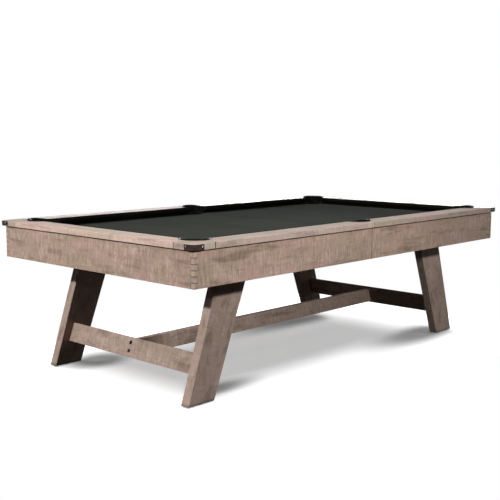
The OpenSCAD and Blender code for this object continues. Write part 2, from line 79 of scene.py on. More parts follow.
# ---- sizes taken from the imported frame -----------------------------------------
rail_lo, rail_hi = box("rail_back_right")
RAIL_TOP = rail_hi.z
RAIL_BOTTOM = box("apron_back_right")[1].z + 0.005
CAB_X = box("apron_end_right")[1].x
CAB_Y = box("apron_back_right")[1].y
APRON_Z = box("apron_back_right")[0].z
APRON_T = CAB_X - box("apron_end_right")[0].x
APRON_H = box("apron_back_right")[1].z - APRON_Z
cloth_lo, cloth_hi = box("bed_cloth")
BED_Z = cloth_hi.z
SLATE_TOP = cloth_lo.z
CLOTH_X, CLOTH_Y = cloth_hi.x, cloth_hi.y
NOSE_Y = box("cushion_back_right")[0].y
NOSE_X = box("cushion_end_right")[0].x
CUSHION_W = box("cushion_back_right")[1].y - NOSE_Y
RAIL_X = box("rail_end_right")[1].x
RAIL_Y = rail_hi.y
corner_lo, corner_hi = box("pocket_back_right")
side_lo, side_hi = box("pocket_back_middle")
LIP_TOP = side_hi.z
LIP_R = side_hi.x
SIDE_PY = side_hi.y - LIP_R
CORNER_PX = corner_hi.x - LIP_R
CORNER_PY = corner_hi.y - LIP_R
BUCKET_Z = side_lo.z
BUCKET_R = 0.054
COLLAR_R = LIP_R - 0.0025
COLLAR_IN_R = LIP_R - 0.0095
CORNER_REACH = 0.033
SIDE_REACH = 0.013
CORNER_NOSE_X = NOSE_X - 0.124 / math.sqrt(2)
SIDE_NOSE_X = 0.066
FACING_CORNER = math.radians(38)
FACING_SIDE = math.radians(104)
WOOD_CUT_R = COLLAR_R + 0.0006
FINGERS = 6
LEG_TILT = math.radians(19.65)


# ---- camera ---------------------------------------------------------------------
CAM_AZ = math.radians(-45.379)
CAM_EL = math.radians(7.619)
cam_data = bpy.data.cameras.new("camera")
camera = bpy.data.objects.new("camera", cam_data)
scene.collection.objects.link(camera)
back = Vector((math.sin(CAM_AZ) * math.cos(CAM_EL), -math.cos(CAM_AZ) * math.cos(CAM_EL), math.sin(CAM_EL)))
camera.location = (-3.74645, -3.28683, 1.2249)
camera.rotation_mode = "QUATERNION"
camera.rotation_quaternion = (-back).to_track_quat("-Z", "Y")
cam_data.sensor_width = 36
cam_data.lens = 63.321
cam_data.shift_x = 0.0664
cam_data.shift_y = 0.0004
cam_data.clip_start = 0.05
cam_data.clip_end = 60
scene.camera = camera
scene.view_settings.view_transform = "Standard"


# ---- node helpers ---------------------------------------------------------------
def srgb(r, g, b):
    """Linear colour, with alpha, of an sRGB colour given from 0 to 255."""
    def lin(c):
        c /= 255
        return c / 12.92 if c <= 0.04045 else ((c + 0.055) / 1.055) ** 2.4
    return (lin(r), lin(g), lin(b), 1)


def add(tree, kind, ins=None, **props):
    """A new node with its properties and inputs set; an input may be another node's output."""
    node = tree.nodes.new("ShaderNode" + kind)
    for key, value in props.items():
        setattr(node, key, value)
    for key, value in (ins or {}).items():
        socket = node.inputs[key]
        if isinstance(value, bpy.types.NodeSocket):
            tree.links.new(value, socket)
        else:
            socket.default_value = value
    return node


def math_node(tree, op, a, b=0.0, c=0.0, clamp=False):
    return add(tree, "Math", {0: a, 1: b, 2: c}, operation=op, use_clamp=clamp).outputs[0]


def scaled(tree, vector, scale, offset=(0, 0, 0)):
    return add(tree, "Mapping", {"Vector": vector, "Scale": scale, "Location": offset}).outputs[0]


def fuzz(tree, vector, scale, detail=2.0, rough=0.5, warp=0.0):
    return add(tree, "TexNoise", {"Vector": vector, "Scale": scale, "Detail": detail,
                                  "Roughness": rough, "Distortion": warp}).outputs[0]


def span(tree, value, lo, hi, to_lo=0.0, to_hi=1.0, smooth=True):
    return add(tree, "MapRange", {"Value": value, "From Min": lo, "From Max": hi, "To Min": to_lo, "To Max": to_hi},
               interpolation_type="SMOOTHSTEP" if smooth else "LINEAR").outputs[0]


def mix(tree, fac, a, b, blend="MIX"):
    node = add(tree, "Mix", data_type="RGBA", blend_type=blend)
    for socket, value in ((node.inputs[0], fac), (node.inputs[6], a), (node.inputs[7], b)):
        if isinstance(value, bpy.types.NodeSocket):
            tree.links.new(value, socket)
        else:
            socket.default_value = value
    return node.outputs[2]


def new_material(name):
    material = bpy.data.materials.new(name)
    material.use_nodes = True
    tree = material.node_tree
    tree.nodes.clear()
    return material, tree


def finish_material(tree, color, roughness, height=None, bump=0.0005, strength=1.0, **constants):
    """Principled shader whose constants are set on its own sockets, and its output."""
    shader = add(tree, "BsdfPrincipled")
    tree.links.new(color, shader.inputs["Base Color"])
    if isinstance(roughness, bpy.types.NodeSocket):
        tree.links.new(roughness, shader.inputs["Roughness"])
    else:
        shader.inputs["Roughness"].default_value = roughness
    for key, value in constants.items():
        shader.inputs[key.replace("_", " ")].default_value = value
    if height is not None:
        normal = add(tree, "Bump", {"Height": height, "Strength": strength, "Distance": bump}).outputs[0]
        tree.links.new(normal, shader.inputs["Normal"])
    output = add(tree, "OutputMaterial")
    tree.links.new(shader.outputs[0], output.inputs[0])
    return shader


# ---- wood -----------------------------------------------------------------------
def wood_group():
    """Node group: board coordinates (along, across, through) to colour, roughness and height of rough-sawn wood."""
    group = bpy.data.node_groups.new("sawn_wood", "ShaderNodeTree")
    face = group.interface
    face.new_socket("Vector", in_out="INPUT", socket_type="NodeSocketVector")
    for key, value in (("Seed", 0.0), ("Saw", 1.0), ("Blotch", 1.0), ("Short", 1.0)):
        face.new_socket(key, in_out="INPUT", socket_type="NodeSocketFloat").default_value = value
    for key in ("Tan", "Pink", "Grey", "Dark"):
        face.new_socket(key, in_out="INPUT", socket_type="NodeSocketColor")
    face.new_socket("Color", in_out="OUTPUT", socket_type="NodeSocketColor")
    face.new_socket("Height", in_out="OUTPUT", socket_type="NodeSocketFloat")
    face.new_socket("Rough", in_out="OUTPUT", socket_type="NodeSocketFloat")
    t = group
    inp = t.nodes.new("NodeGroupInput")
    out = t.nodes.new("NodeGroupOutput")
    seed = add(t, "CombineXYZ", {0: inp.outputs["Seed"], 1: inp.outputs["Seed"], 2: 0.0}).outputs[0]
    moved = add(t, "VectorMath", {0: inp.outputs["Vector"], 1: seed}, operation="ADD").outputs[0]
    # a slow wander, so that no mark runs dead straight
    wander = add(t, "TexNoise", {"Vector": moved, "Scale": 5.0, "Detail": 1.0}).outputs[1]
    wander = add(t, "VectorMath", {0: wander, 1: (0.5, 0.5, 0.5)}, operation="SUBTRACT").outputs[0]
    wander = add(t, "VectorMath", {0: wander, "Scale": 0.02}, operation="SCALE").outputs[0]
    vec = add(t, "VectorMath", {0: moved, 1: wander}, operation="ADD").outputs[0]

    # broad patches along the board
    patch = fuzz(t, scaled(t, vec, (3.6, 8, 8)), 1.0, 3.0, 0.55, 0.5)
    patch2 = fuzz(t, scaled(t, vec, (7, 17, 17), (3.1, 1.7, 0.4)), 1.0, 4.0, 0.62, 0.4)
    short = add(t, "CombineXYZ", {0: inp.outputs["Short"], 1: 1.0, 2: 1.0}).outputs[0]
    squat = add(t, "VectorMath", {0: vec, 1: short}, operation="MULTIPLY").outputs[0]
    smudge = fuzz(t, scaled(t, squat, (4, 26, 26), (0.3, 5.2, 2.1)), 1.0, 3.5, 0.56, 0.1)
    stain = fuzz(t, scaled(t, vec, (19, 40, 40), (6.3, 2.2, 4.1)), 1.0, 4.0, 0.66, 0.2)
    # saw marks across the board: a broad uneven set, a fine set, and thin scored lines
    saw_wide = span(t, fuzz(t, scaled(t, vec, (66, 13, 13), (7.7, 0.2, 0.9)), 1.0, 4.0, 0.68), 0.34, 0.66, -0.5, 0.5)
    saw_fine = span(t, fuzz(t, scaled(t, vec, (170, 26, 26)), 1.0, 3.0, 0.6), 0.34, 0.66, -0.5, 0.5)
    score = fuzz(t, scaled(t, vec, (44, 6, 6), (2.9, 6.1, 3.3)), 1.0, 3.0, 0.55)
    score = span(t, math_node(t, "ABSOLUTE", math_node(t, "SUBTRACT", score, 0.5)), 0.0, 0.035, 1.0, 0.0)
    crest = fuzz(t, scaled(t, vec, (80, 8, 8), (5.2, 1.1, 8.4)), 1.0, 3.0, 0.55)
    crest = span(t, math_node(t, "ABSOLUTE", math_node(t, "SUBTRACT", crest, 0.5)), 0.0, 0.04, 1.0, 0.0)
    gate = span(t, fuzz(t, scaled(t, vec, (5, 14, 14), (1.9, 8.3, 0)), 1.0, 4.0, 0.6), 0.38, 0.6, 0.2, 1.0)
    gate2 = span(t, fuzz(t, scaled(t, vec, (12, 22, 22), (8.1, 0.7, 0)), 1.0, 3.0, 0.6), 0.46, 0.62)
    # fibres along it
    fibre = fuzz(t, scaled(t, vec, (9, 300, 300)), 1.0, 3.0, 0.65)
    streak = fuzz(t, scaled(t, vec, (3.5, 80, 80), (4.4, 2.2, 1.1)), 1.0, 3.0, 0.6)
    grit = fuzz(t, vec, 420.0, 2.0, 0.6)
    pores = span(t, fuzz(t, scaled(t, vec, (60, 700, 700)), 1.0, 1.0, 0.4), 0.62, 0.74)
    speck = math_node(t, "MULTIPLY", span(t, fuzz(t, scaled(t, vec, (150, 230, 230)), 1.0, 2.0, 0.5), 0.6, 0.7),
                      span(t, fuzz(t, scaled(t, vec, (12, 18, 18)), 1.0, 2.0), 0.46, 0.62))

    blotch = inp.outputs["Blotch"]
    col = mix(t, span(t, patch, 0.38, 0.62), inp.outputs["Tan"], inp.outputs["Pink"])
    worn = math_node(t, "ADD", patch2, math_node(t, "MULTIPLY", saw_wide, 0.14))
    col = mix(t, math_node(t, "MULTIPLY", span(t, worn, 0.5, 0.74, 0.0, 0.6), blotch, clamp=True), col, inp.outputs["Grey"])
    dark = math_node(t, "MAXIMUM", span(t, smudge, 0.5, 0.7, 0.0, 0.66), span(t, stain, 0.54, 0.76, 0.0, 0.5))
    col = mix(t, math_node(t, "MULTIPLY", dark, blotch, clamp=True), col, inp.outputs["Dark"])
    col = mix(t, math_node(t, "MULTIPLY", math_node(t, "MULTIPLY", speck, blotch), 0.5, clamp=True), col, inp.outputs["Grey"])
    # brightness from the marks, as a factor round 1
    saw = math_node(t, "MULTIPLY", math_node(t, "MULTIPLY", saw_wide, gate), 0.24)
    saw = math_node(t, "MULTIPLY_ADD", saw_fine, 0.18, saw)
    saw = math_node(t, "MULTIPLY_ADD", math_node(t, "MULTIPLY", score, gate2), -0.13, saw)
    saw = math_node(t, "MULTIPLY_ADD", math_node(t, "MULTIPLY", crest, gate), 0.10, saw)
    saw = math_node(t, "MULTIPLY", saw, inp.outputs["Saw"])
    tone = math_node(t, "ADD", saw, 1.0)
    for part, share in ((fibre, 0.20), (streak, 0.22), (grit, 0.20), (patch, 0.34)):
        tone = math_node(t, "MULTIPLY_ADD", math_node(t, "SUBTRACT", part, 0.5), share, tone)
    tone = math_node(t, "MULTIPLY_ADD", pores, -0.16, tone)
    col = mix(t, 1.0, col, add(t, "CombineColor", {0: tone, 1: tone, 2: tone}).outputs[0], "MULTIPLY")
    t.links.new(col, out.inputs["Color"])
    height = math_node(t, "MULTIPLY_ADD", saw, 2.2, math_node(t, "MULTIPLY", fibre, 0.35))
    height = math_node(t, "SUBTRACT", height, math_node(t, "MULTIPLY", pores, 0.35))
    height = math_node(t, "ADD", height, math_node(t, "MULTIPLY", grit, 0.15))
    t.links.new(height, out.inputs["Height"])
    t.links.new(span(t, fibre, 0.3, 0.7, 0.0, 1.0, False), out.inputs["Rough"])
    return group


WOOD = wood_group()
WEATHERED = {"Tan": srgb(166, 144, 126), "Pink": srgb(172, 145, 132), "Grey": srgb(181, 166, 150), "Dark": srgb(124, 103, 88)}
PALE = {"Tan": srgb(199, 177, 158), "Pink": srgb(204, 175, 163), "Grey": srgb(206, 190, 175), "Dark": srgb(166, 143, 127)}
DUSKY = {"Tan": srgb(176, 161, 143), "Pink": srgb(180, 156, 147), "Grey": srgb(186, 175, 163), "Dark": srgb(144, 128, 116)}
DEEP = {"Tan": srgb(168, 148, 134), "Pink": srgb(173, 149, 138), "Grey": srgb(193, 174, 161), "Dark": srgb(114, 96, 85)}
PINE = {"Tan": srgb(196, 166, 122), "Pink": srgb(204, 172, 130), "Grey": srgb(210, 184, 146), "Dark": srgb(158, 122, 82)}


def board_vector(t, turn):
    """Object coordinates turned so that X runs along the board, Y across its wide face and Z through it."""
    coords = add(t, "TexCoord").outputs["Object"]
    return add(t, "Mapping", {"Vector": coords, "Rotation": turn}).outputs[0]


ALONG_X = Euler((math.radians(-90), 0, 0))          # (x, z, -y)
ALONG_Y = (Matrix.Rotation(math.radians(-90), 3, "X") @ Matrix.Rotation(math.radians(-90), 3, "Z")).to_euler()


def along_leg(end):
    """Turn that lays a leg's own line on X; end is -1 for the left legs."""
    return (Matrix.Rotation(math.radians(-90), 3, "X") @ Matrix.Rotation(math.radians(90) + end * LEG_TILT, 3, "Y")).to_euler()


def edge_wear(t, radius):
    """1 on the arrises, 0 on the flats."""
    bevel = add(t, "Bevel", {"Radius": radius}, samples=6).outputs[0]
    normal = add(t, "NewGeometry").outputs["Normal"]
    dot = add(t, "VectorMath", {0: bevel, 1: normal}, operation="DOT_PRODUCT").outputs["Value"]
    return span(t, dot, 0.995, 0.86)


def wood_material(name, turn, seed, colors, saw=1.0, blotch=1.0, rough=(0.55, 0.72), specular=0.22, bump=0.0006,
                  coat=0.0, joints=None, seams=(), foot=1.0, worn=0.45, short=1.0, side_rough=0.0):
    material, t = new_material(name)
    vec = board_vector(t, turn)
    group = t.nodes.new("ShaderNodeGroup")
    group.node_tree = WOOD
    t.links.new(vec, group.inputs["Vector"])
    for key, value in (("Seed", seed * 7.31), ("Saw", saw), ("Blotch", blotch), ("Short", short), *colors.items()):
        group.inputs[key].default_value = value
    color = group.outputs["Color"]
    if joints is not None:
        color = finger_lines(t, color, joints)
    # end grain is a little paler, with its own blotches in place of the long marks
    facing = add(t, "TexCoord").outputs["Normal"]
    normal = add(t, "Mapping", {"Vector": facing, "Rotation": turn}).outputs[0]
    end = math_node(t, "ABSOLUTE", add(t, "SeparateXYZ", {0: normal}).outputs[0])
    end = span(t, end, 0.75, 0.9)
    end_tone = span(t, fuzz(t, vec, 210.0, 3.0, 0.65), 0.3, 0.7, 0.78, 1.12)
    grain_end = mix(t, 1.0, colors["Grey"], grey(t, end_tone), "MULTIPLY")
    color = mix(t, math_node(t, "MULTIPLY", end, 0.4), color, grain_end)
    wear = edge_wear(t, 0.0035)
    broken = span(t, fuzz(t, vec, 60.0, 3.0, 0.6), 0.38, 0.62)
    color = mix(t, math_node(t, "MULTIPLY", math_node(t, "MULTIPLY", wear, broken), worn), color,
                tuple(min(1, c * 1.22) for c in colors["Grey"][:3]) + (1,))
    # painted shade: the colour darkens towards a warm brown where nearby surfaces close in, in gaps and corners
    open_air = add(t, "AmbientOcclusion", {"Distance": 0.014}, samples=8).outputs["AO"]
    color = mix(t, span(t, open_air, 0.95, 0.45, 0.0, 0.85), color, srgb(78, 44, 24))
    if seams:
        color = seam_lines(t, color, seams)
    # painted shade: the board is darker towards the floor, darkest in a band along its very bottom
    if foot < 1.0:
        height = add(t, "SeparateXYZ", {0: add(t, "TexCoord").outputs["Object"]}).outputs[2]
        color = mix(t, 1.0, color, grey(t, span(t, height, 0.12, 0.5, foot, 1.0)), "MULTIPLY")
        color = mix(t, span(t, height, 0.006, 0.022, 0.6, 0.0), color, srgb(62, 50, 43))
    roughness = span(t, group.outputs["Rough"], 0, 1, *rough, smooth=False)
    if side_rough:
        level = math_node(t, "ABSOLUTE", add(t, "SeparateXYZ", {0: facing}).outputs[2])
        upright = span(t, level, 0.5, 0.9, side_rough, 0.0)
        roughness = math_node(t, "MAXIMUM", roughness, upright)
    finish_material(t, color, roughness, group.outputs["Height"], bump,
                    **{"Specular_IOR_Level": specular, "Coat_Weight": coat, "Coat_Roughness": 0.32})
    return material


def grey(t, value):
    return add(t, "CombineColor", {0: value, 1: value, 2: value}).outputs[0]


def seam_lines(t, color, planes):
    """A dark line where boards meet: planes of (axis, place, strength)."""
    xyz = add(t, "SeparateXYZ", {0: add(t, "TexCoord").outputs["Object"]})
    for axis, place, strength in planes:
        away = math_node(t, "ABSOLUTE", math_node(t, "SUBTRACT", xyz.outputs[axis], place))
        color = mix(t, span(t, away, 0.0014, 0.0034, strength, 0.0), color, srgb(62, 45, 36))
    return color


def finger_lines(t, color, kind):
    """Dark glue lines round the fingers of a corner joint; kind is the face's long axis."""
    xyz = add(t, "SeparateXYZ", {0: add(t, "TexCoord").outputs["Object"]})
    along = math_node(t, "ABSOLUTE", xyz.outputs[0 if kind == "x" else 1])
    reach = CAB_X if kind == "x" else CAB_Y
    level = math_node(t, "DIVIDE", math_node(t, "SUBTRACT", xyz.outputs[2], APRON_Z), APRON_H / FINGERS)
    wave = math_node(t, "ABSOLUTE", math_node(t, "SUBTRACT", math_node(t, "FRACT", math_node(t, "ADD", level, 0.5)), 0.5))
    half = 0.0016
    near_level = span(t, wave, half / (APRON_H / FINGERS), 2.2 * half / (APRON_H / FINGERS), 1.0, 0.0)
    in_corner = span(t, along, reach - APRON_T - 0.001, reach - APRON_T, 0.0, 1.0)
    inner = math_node(t, "MULTIPLY", near_level, in_corner)
    root = span(t, math_node(t, "ABSOLUTE", math_node(t, "SUBTRACT", along, reach - APRON_T)), half, 2.2 * half, 1.0, 0.0)
    # the end boards have the upper finger of each pair and the long boards the lower
    upper = math_node(t, "FRACT", math_node(t, "MULTIPLY", level, 0.5))
    root = math_node(t, "MULTIPLY", root, math_node(t, "GREATER_THAN" if kind == "x" else "LESS_THAN", upper, 0.5))
    lines = math_node(t, "MAXIMUM", inner, root)
    ends = math_node(t, "MULTIPLY", span(t, level, 0.0, 0.02), span(t, level, FINGERS - 0.02, FINGERS, 1.0, 0.0))
    lines = math_node(t, "MULTIPLY", math_node(t, "MULTIPLY", lines, ends), 0.85)
    return mix(t, lines, color, srgb(72, 52, 40))


def dress(name, material):
    """Gives a carried-over CAD node its finish."""
    data = nodes[name].data
    data.materials.clear()
    data.materials.append(material)
    for polygon in data.polygons:
        polygon.material_index = 0


def soften(name, width=0.0006, segments=2, angle=35):
    bevel = nodes[name].modifiers.new("soft_edges", "BEVEL")
    bevel.width = width
    bevel.segments = segments
    bevel.limit_method = "ANGLE"
    bevel.angle_limit = math.radians(angle)
    bevel.harden_normals = False


BLOCK_L = 0.125
RAIL_LOOK = dict(saw=0.65, blotch=1.1, rough=(0.42, 0.55), specular=0.2, bump=0.00035, worn=0.35, side_rough=0.85)


def block_seams(side, end):
    """The two seams of a corner block; its glue lines are open at the front left corner and tight at the others."""
    is_open = (side, end) == ("front", "left")
    return ((0, sign[end] * (RAIL_X - BLOCK_L), 0.85 if is_open else 0.2),
            (1, sign[side] * (RAIL_Y - BLOCK_L), 0.5 if is_open else 0.2))


seed = 1
for side in SIDES:
    for end in ENDS:
        seams = block_seams(side, end)
        dress(f"apron_{side}_{end}", wood_material(f"apron_{side}_{end}", ALONG_X, seed, WEATHERED, joints="x",
                                                   seams=((0, 0.0, 0.7),), saw=1.2, blotch=1.1, specular=0.09))
        dress(f"rail_{side}_{end}", wood_material(f"rail_{side}_{end}", ALONG_X, seed + 1, DUSKY,
                                                  seams=(seams[0], (0, 0.0, 0.2)), **RAIL_LOOK))
        dress(f"corner_block_{side}_{end}", wood_material(f"corner_block_{side}_{end}", ALONG_Y, seed + 2, DUSKY,
                                                          seams=seams, **RAIL_LOOK))
        # foot sets the painted shade towards the floor; it is deeper on the back legs
        dress(f"leg_{side}_{end}", wood_material(f"leg_{side}_{end}", along_leg(sign[end]), seed + 3, DEEP, saw=0.3,
                                                 blotch=0.9, foot=0.99 if side == "front" else 0.88, short=2.0,
                                                 specular=0.05))
        seed += 4
for end in ENDS:
    seams = [(1, sign[side] * (RAIL_Y - BLOCK_L), 0.5 if (side, end) == ("front", "left") else 0.2) for side in SIDES]
    dress(f"apron_end_{end}", wood_material(f"apron_end_{end}", ALONG_Y, seed, WEATHERED, joints="y", saw=1.5,
                                            specular=0.09))
    dress(f"rail_end_{end}", wood_material(f"rail_end_{end}", ALONG_Y, seed + 1, PALE, seams=seams, **RAIL_LOOK))
    dress(f"cross_stretcher_{end}", wood_material(f"cross_stretcher_{end}", ALONG_Y, seed + 2, DEEP, blotch=1.0, short=1.6,
                                                     specular=0.05))
    dress(f"cross_beam_end_{end}", wood_material(f"cross_beam_end_{end}", ALONG_Y, seed + 3, PINE, saw=0.2, blotch=0.7))
    dress(f"cross_beam_joint_{end}", wood_material(f"cross_beam_joint_{end}", ALONG_Y, seed + 4, PINE, saw=0.2, blotch=0.7))
    seed += 5
dress("long_stretcher", wood_material("long_stretcher", ALONG_X, seed, DEEP, specular=0.05))
for side in SIDES:
    seed += 1
    dress(f"long_beam_{side}", wood_material(f"long_beam_{side}", ALONG_X, seed, PINE, saw=0.2, blotch=0.7))


# ---- metal, slate and rubber ------------------------------------------------------
def bronze():
    material, t = new_material("oiled_bronze")
    vec = add(t, "TexCoord").outputs["Object"]
    cloud = fuzz(t, vec, 45.0, 4.0, 0.6, 0.3)
    color = mix(t, span(t, cloud, 0.35, 0.68), srgb(40, 32, 29), srgb(68, 53, 47))
    wear = edge_wear(t, 0.0012)
    color = mix(t, math_node(t, "MULTIPLY", wear, 0.5), color, srgb(120, 98, 82))
    dimple = add(t, "TexVoronoi", {"Vector": vec, "Scale": 190.0}, feature="SMOOTH_F1").outputs[0]
    height = math_node(t, "ADD", dimple, math_node(t, "MULTIPLY", fuzz(t, vec, 700.0, 2.0), 0.3))
    finish_material(t, color, span(t, cloud, 0.3, 0.7, 0.4, 0.55), height, 0.0006, 0.5, Metallic=0.2,
                    Specular_IOR_Level=0.05)
    return material


def zinc():
    material, t = new_material("zinc_plate")
    vec = add(t, "TexCoord").outputs["Object"]
    cloud = fuzz(t, vec, 120.0, 4.0, 0.6)
    color = mix(t, span(t, cloud, 0.35, 0.68), srgb(148, 150, 154), srgb(188, 190, 192))
    finish_material(t, color, span(t, cloud, 0.3, 0.7, 0.32, 0.5), fuzz(t, vec, 900.0, 2.0), 0.0001, 0.5, Metallic=1.0)
    return material


def slate_stone():
    material, t = new_material("honed_slate")
    vec = add(t, "TexCoord").outputs["Object"]
    layers = fuzz(t, scaled(t, vec, (3, 3, 160)), 1.0, 5.0, 0.6, 0.5)
    cloud = fuzz(t, vec, 9.0, 5.0, 0.6)
    color = mix(t, span(t, cloud, 0.35, 0.68), srgb(84, 88, 94), srgb(112, 115, 120))
    color = mix(t, span(t, layers, 0.5, 0.75, 0.0, 0.6), color, srgb(66, 70, 77))
    finish_material(t, color, span(t, layers, 0.3, 0.7, 0.5, 0.7), layers, 0.0006, 0.6)
    return material


def black_rubber():
    material, t = new_material("moulded_rubber")
    vec = add(t, "TexCoord").outputs["Object"]
    cloud = fuzz(t, vec, 38.0, 4.0, 0.6)
    color = mix(t, span(t, cloud, 0.35, 0.7), srgb(12, 13, 12), srgb(22, 23, 22))
    wear = edge_wear(t, 0.002)
    color = mix(t, math_node(t, "MULTIPLY", wear, 0.25), color, srgb(54, 56, 55))
    grain = fuzz(t, vec, 1300.0, 2.0, 0.6)
    finish_material(t, color, span(t, cloud, 0.3, 0.7, 0.15, 0.25), grain, 0.00012, 0.4, Specular_IOR_Level=0.12)
    return material


def black_steel():
    """Blackened bolts with a polished dome."""
    material, t = new_material("blackened_steel")
    vec = add(t, "TexCoord").outputs["Object"]
    cloud = fuzz(t, vec, 300.0, 3.0, 0.6)
    color = mix(t, span(t, cloud, 0.35, 0.68), srgb(12, 10, 9), srgb(24, 20, 18))
    color = mix(t, math_node(t, "MULTIPLY", edge_wear(t, 0.0008), 0.4), color, srgb(96, 86, 78))
    finish_material(t, color, span(t, cloud, 0.3, 0.7, 0.18, 0.28), cloud, 0.00008, 0.4, Specular_IOR_Level=0.12)
    return material


def dull_rubber():
    """The unpolished inside of a pocket."""
    material, t = new_material("pocket_inside")
    vec = add(t, "TexCoord").outputs["Object"]
    cloud = fuzz(t, vec, 60.0, 4.0, 0.6)
    color = mix(t, span(t, cloud, 0.35, 0.7), srgb(9, 10, 9), srgb(20, 21, 20))
    finish_material(t, color, span(t, cloud, 0.3, 0.7, 0.8, 0.95), fuzz(t, vec, 900.0, 2.0, 0.6), 0.0002, 0.6,
                    Specular_IOR_Level=0.03)
    return material


BRONZE, ZINC, STONE, RUBBER = bronze(), zinc(), slate_stone(), black_rubber()
BLACK_STEEL, DULL = black_steel(), dull_rubber()
for name in nodes:
    if name.startswith("corner_bracket"):
        dress(name, BRONZE)
    elif name.startswith(("leveller", "beam_angles", "slate_screws", "rail_bolts", "leg_bolts")):
        dress(name, ZINC)
    elif name.startswith("slate_"):
        dress(name, STONE)
for name in nodes:
    if name.startswith("corner_bracket"):
        soften(name, 0.0005)


# ---- cloth ------------------------------------------------------------------------
def felt(name, dark, light, sheen=0.0):
    """Napped worsted cloth: a fine twill under a short nap."""
    material, t = new_material(name)
    vec = add(t, "TexCoord").outputs["Object"]
    cloud = fuzz(t, vec, 3.0, 3.0, 0.55)
    nap = fuzz(t, scaled(t, vec, (260, 420, 420)), 1.0, 3.0, 0.7)
    fleck = fuzz(t, vec, 1500.0, 2.0, 0.7)
    weave = add(t, "TexWave", {"Vector": vec, "Scale": 260.0, "Distortion": 1.2, "Detail": 1.0, "Detail Scale": 2.0},
                wave_type="BANDS", bands_direction="DIAGONAL").outputs["Fac"]
    base = mix(t, span(t, cloud, 0.3, 0.7), dark, light)
    tone = math_node(t, "MULTIPLY_ADD", nap, 0.24, 0.8)
    tone = math_node(t, "MULTIPLY_ADD", fleck, 0.16, tone)
    base = mix(t, 1.0, base, grey(t, tone), "MULTIPLY")
    height = math_node(t, "MULTIPLY_ADD", weave, 0.5, fleck)
    finish_material(t, base, 0.95, height, 0.00025, 0.6, Specular_IOR_Level=0.0, Sheen_Weight=sheen, Sheen_Roughness=0.5)
    return material


BED_FELT = felt("bed_felt", srgb(60, 64, 58), srgb(66, 69, 63), 0.022)
# painted shade: the cushions wear the bed's cloth, made near black here to stand for the shade that lies on their noses
SHADED_CUSHION_FELT = felt("cushion_felt", srgb(19, 20, 18), srgb(25, 26, 24))


def new_piece(name, mesh_builder, material, body="table", smooth=True):
    mesh = bpy.data.meshes.new(name)
    bm = bmesh.new()
    mesh_builder(bm)
    bm.normal_update()
    bm.to_mesh(mesh)
    bm.free()
    piece = bpy.data.objects.new(name, mesh)
    scene.collection.objects.link(piece)
    mesh.materials.append(material)
    if smooth:
        for polygon in mesh.polygons:
            polygon.use_smooth = True
    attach(piece, body)
    return piece


def grid_faces(bm, rings, close_around=False, close_along=False):
    """Quads between equal rings of vertices."""
    count = len(rings[0])
    rows = len(rings) if close_along else len(rings) - 1
    for i in range(rows):
        a, b = rings[i], rings[(i + 1) % len(rings)]
        for j in range(count if close_around else count - 1):
            k = (j + 1) % count
            bm.faces.new((a[j], a[k], b[k], b[j]))


# ---- bolts ----------------------------------------------------------------------------
def bolt_ring(bm, matrix, around, r, z):
    return [bm.verts.new(matrix @ Vector((r * math.cos(2 * math.pi * i / around), r * math.sin(2 * math.pi * i / around), z)))
            for i in range(around)]


def bolt_builder(places, head_r, head_h, shank_r, shank_l, washer_r=0.0):
    """Domed bolts with a hexagon socket; each place carries the head's seat at the origin, with the head along +Z."""
    def build(bm):
        around = 24
        seat = 0.0012 if washer_r else 0.0
        dome = [(0.0, 1.0), (0.22, 0.985), (0.42, 0.93), (0.62, 0.82), (0.80, 0.64), (0.93, 0.40), (1.0, 0.12)]
        for matrix in places:
            # shank, seat and dome, from the tip to the rim of the socket
            section = [(shank_r - 0.0008, -shank_l), (shank_r, -shank_l + 0.0008), (shank_r, 0.0)]
            if washer_r:
                section += [(washer_r - 0.0003, 0.0), (washer_r, 0.0004), (washer_r, 0.0009), (washer_r - 0.0003, seat)]
            section += [(head_r, seat + 0.0001)] + [(head_r * x, seat + (head_h - seat) * z) for x, z in reversed(dome[2:])]
            rings = [bolt_ring(bm, matrix, around, r, z) for r, z in section]
            # the socket: six flats with a rounded lead-in
            hexagon = []
            for depth, across in ((-0.0001, 0.40), (-0.0006, 0.345), (-head_h * 0.6, 0.335)):
                ring = []
                for i in range(around):
                    angle = 2 * math.pi * i / around
                    flat = math.cos(math.pi / 6) / math.cos((angle % (math.pi / 3)) - math.pi / 6)
                    r = head_r * across * (flat if depth < -0.0002 else 1.0)
                    ring.append(bm.verts.new(matrix @ Vector((r * math.cos(angle), r * math.sin(angle),
                                                              head_h * 0.955 + depth))))
                hexagon.append(ring)
            grid_faces(bm, rings + hexagon, close_around=True)
            bm.faces.new(list(reversed(rings[0])))
            bm.faces.new(hexagon[-1])
        bmesh.ops.recalc_face_normals(bm, faces=bm.faces)
    return build


def facing(place, outward):
    """Matrix of a bolt whose head looks this way."""
    return Matrix.Translation(place) @ Vector(outward).to_track_quat("Z", "Y").to_matrix().to_4x4()


bolts_lo, bolts_hi = box("bracket_bolts")
bracket_hi = box("corner_bracket_back_right")[1]
BOLT_Z = (bolts_lo.z + bolts_hi.z) / 2
BOLT_IN = 0.045
places = []
for sy in (-1, 1):
    for sx in (-1, 1):
        places.append(facing((sx * bracket_hi.x, sy * (RAIL_Y - BOLT_IN), BOLT_Z), (sx, 0, 0)))
        places.append(facing((sx * (RAIL_X - BOLT_IN), sy * bracket_hi.y, BOLT_Z), (0, sy, 0)))
bolts = new_piece("bracket_bolt_heads", bolt_builder(places, 0.0066, bolts_hi.x - bracket_hi.x, 0.003, 0.028), BLACK_STEEL)
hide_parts("bracket_bolts")

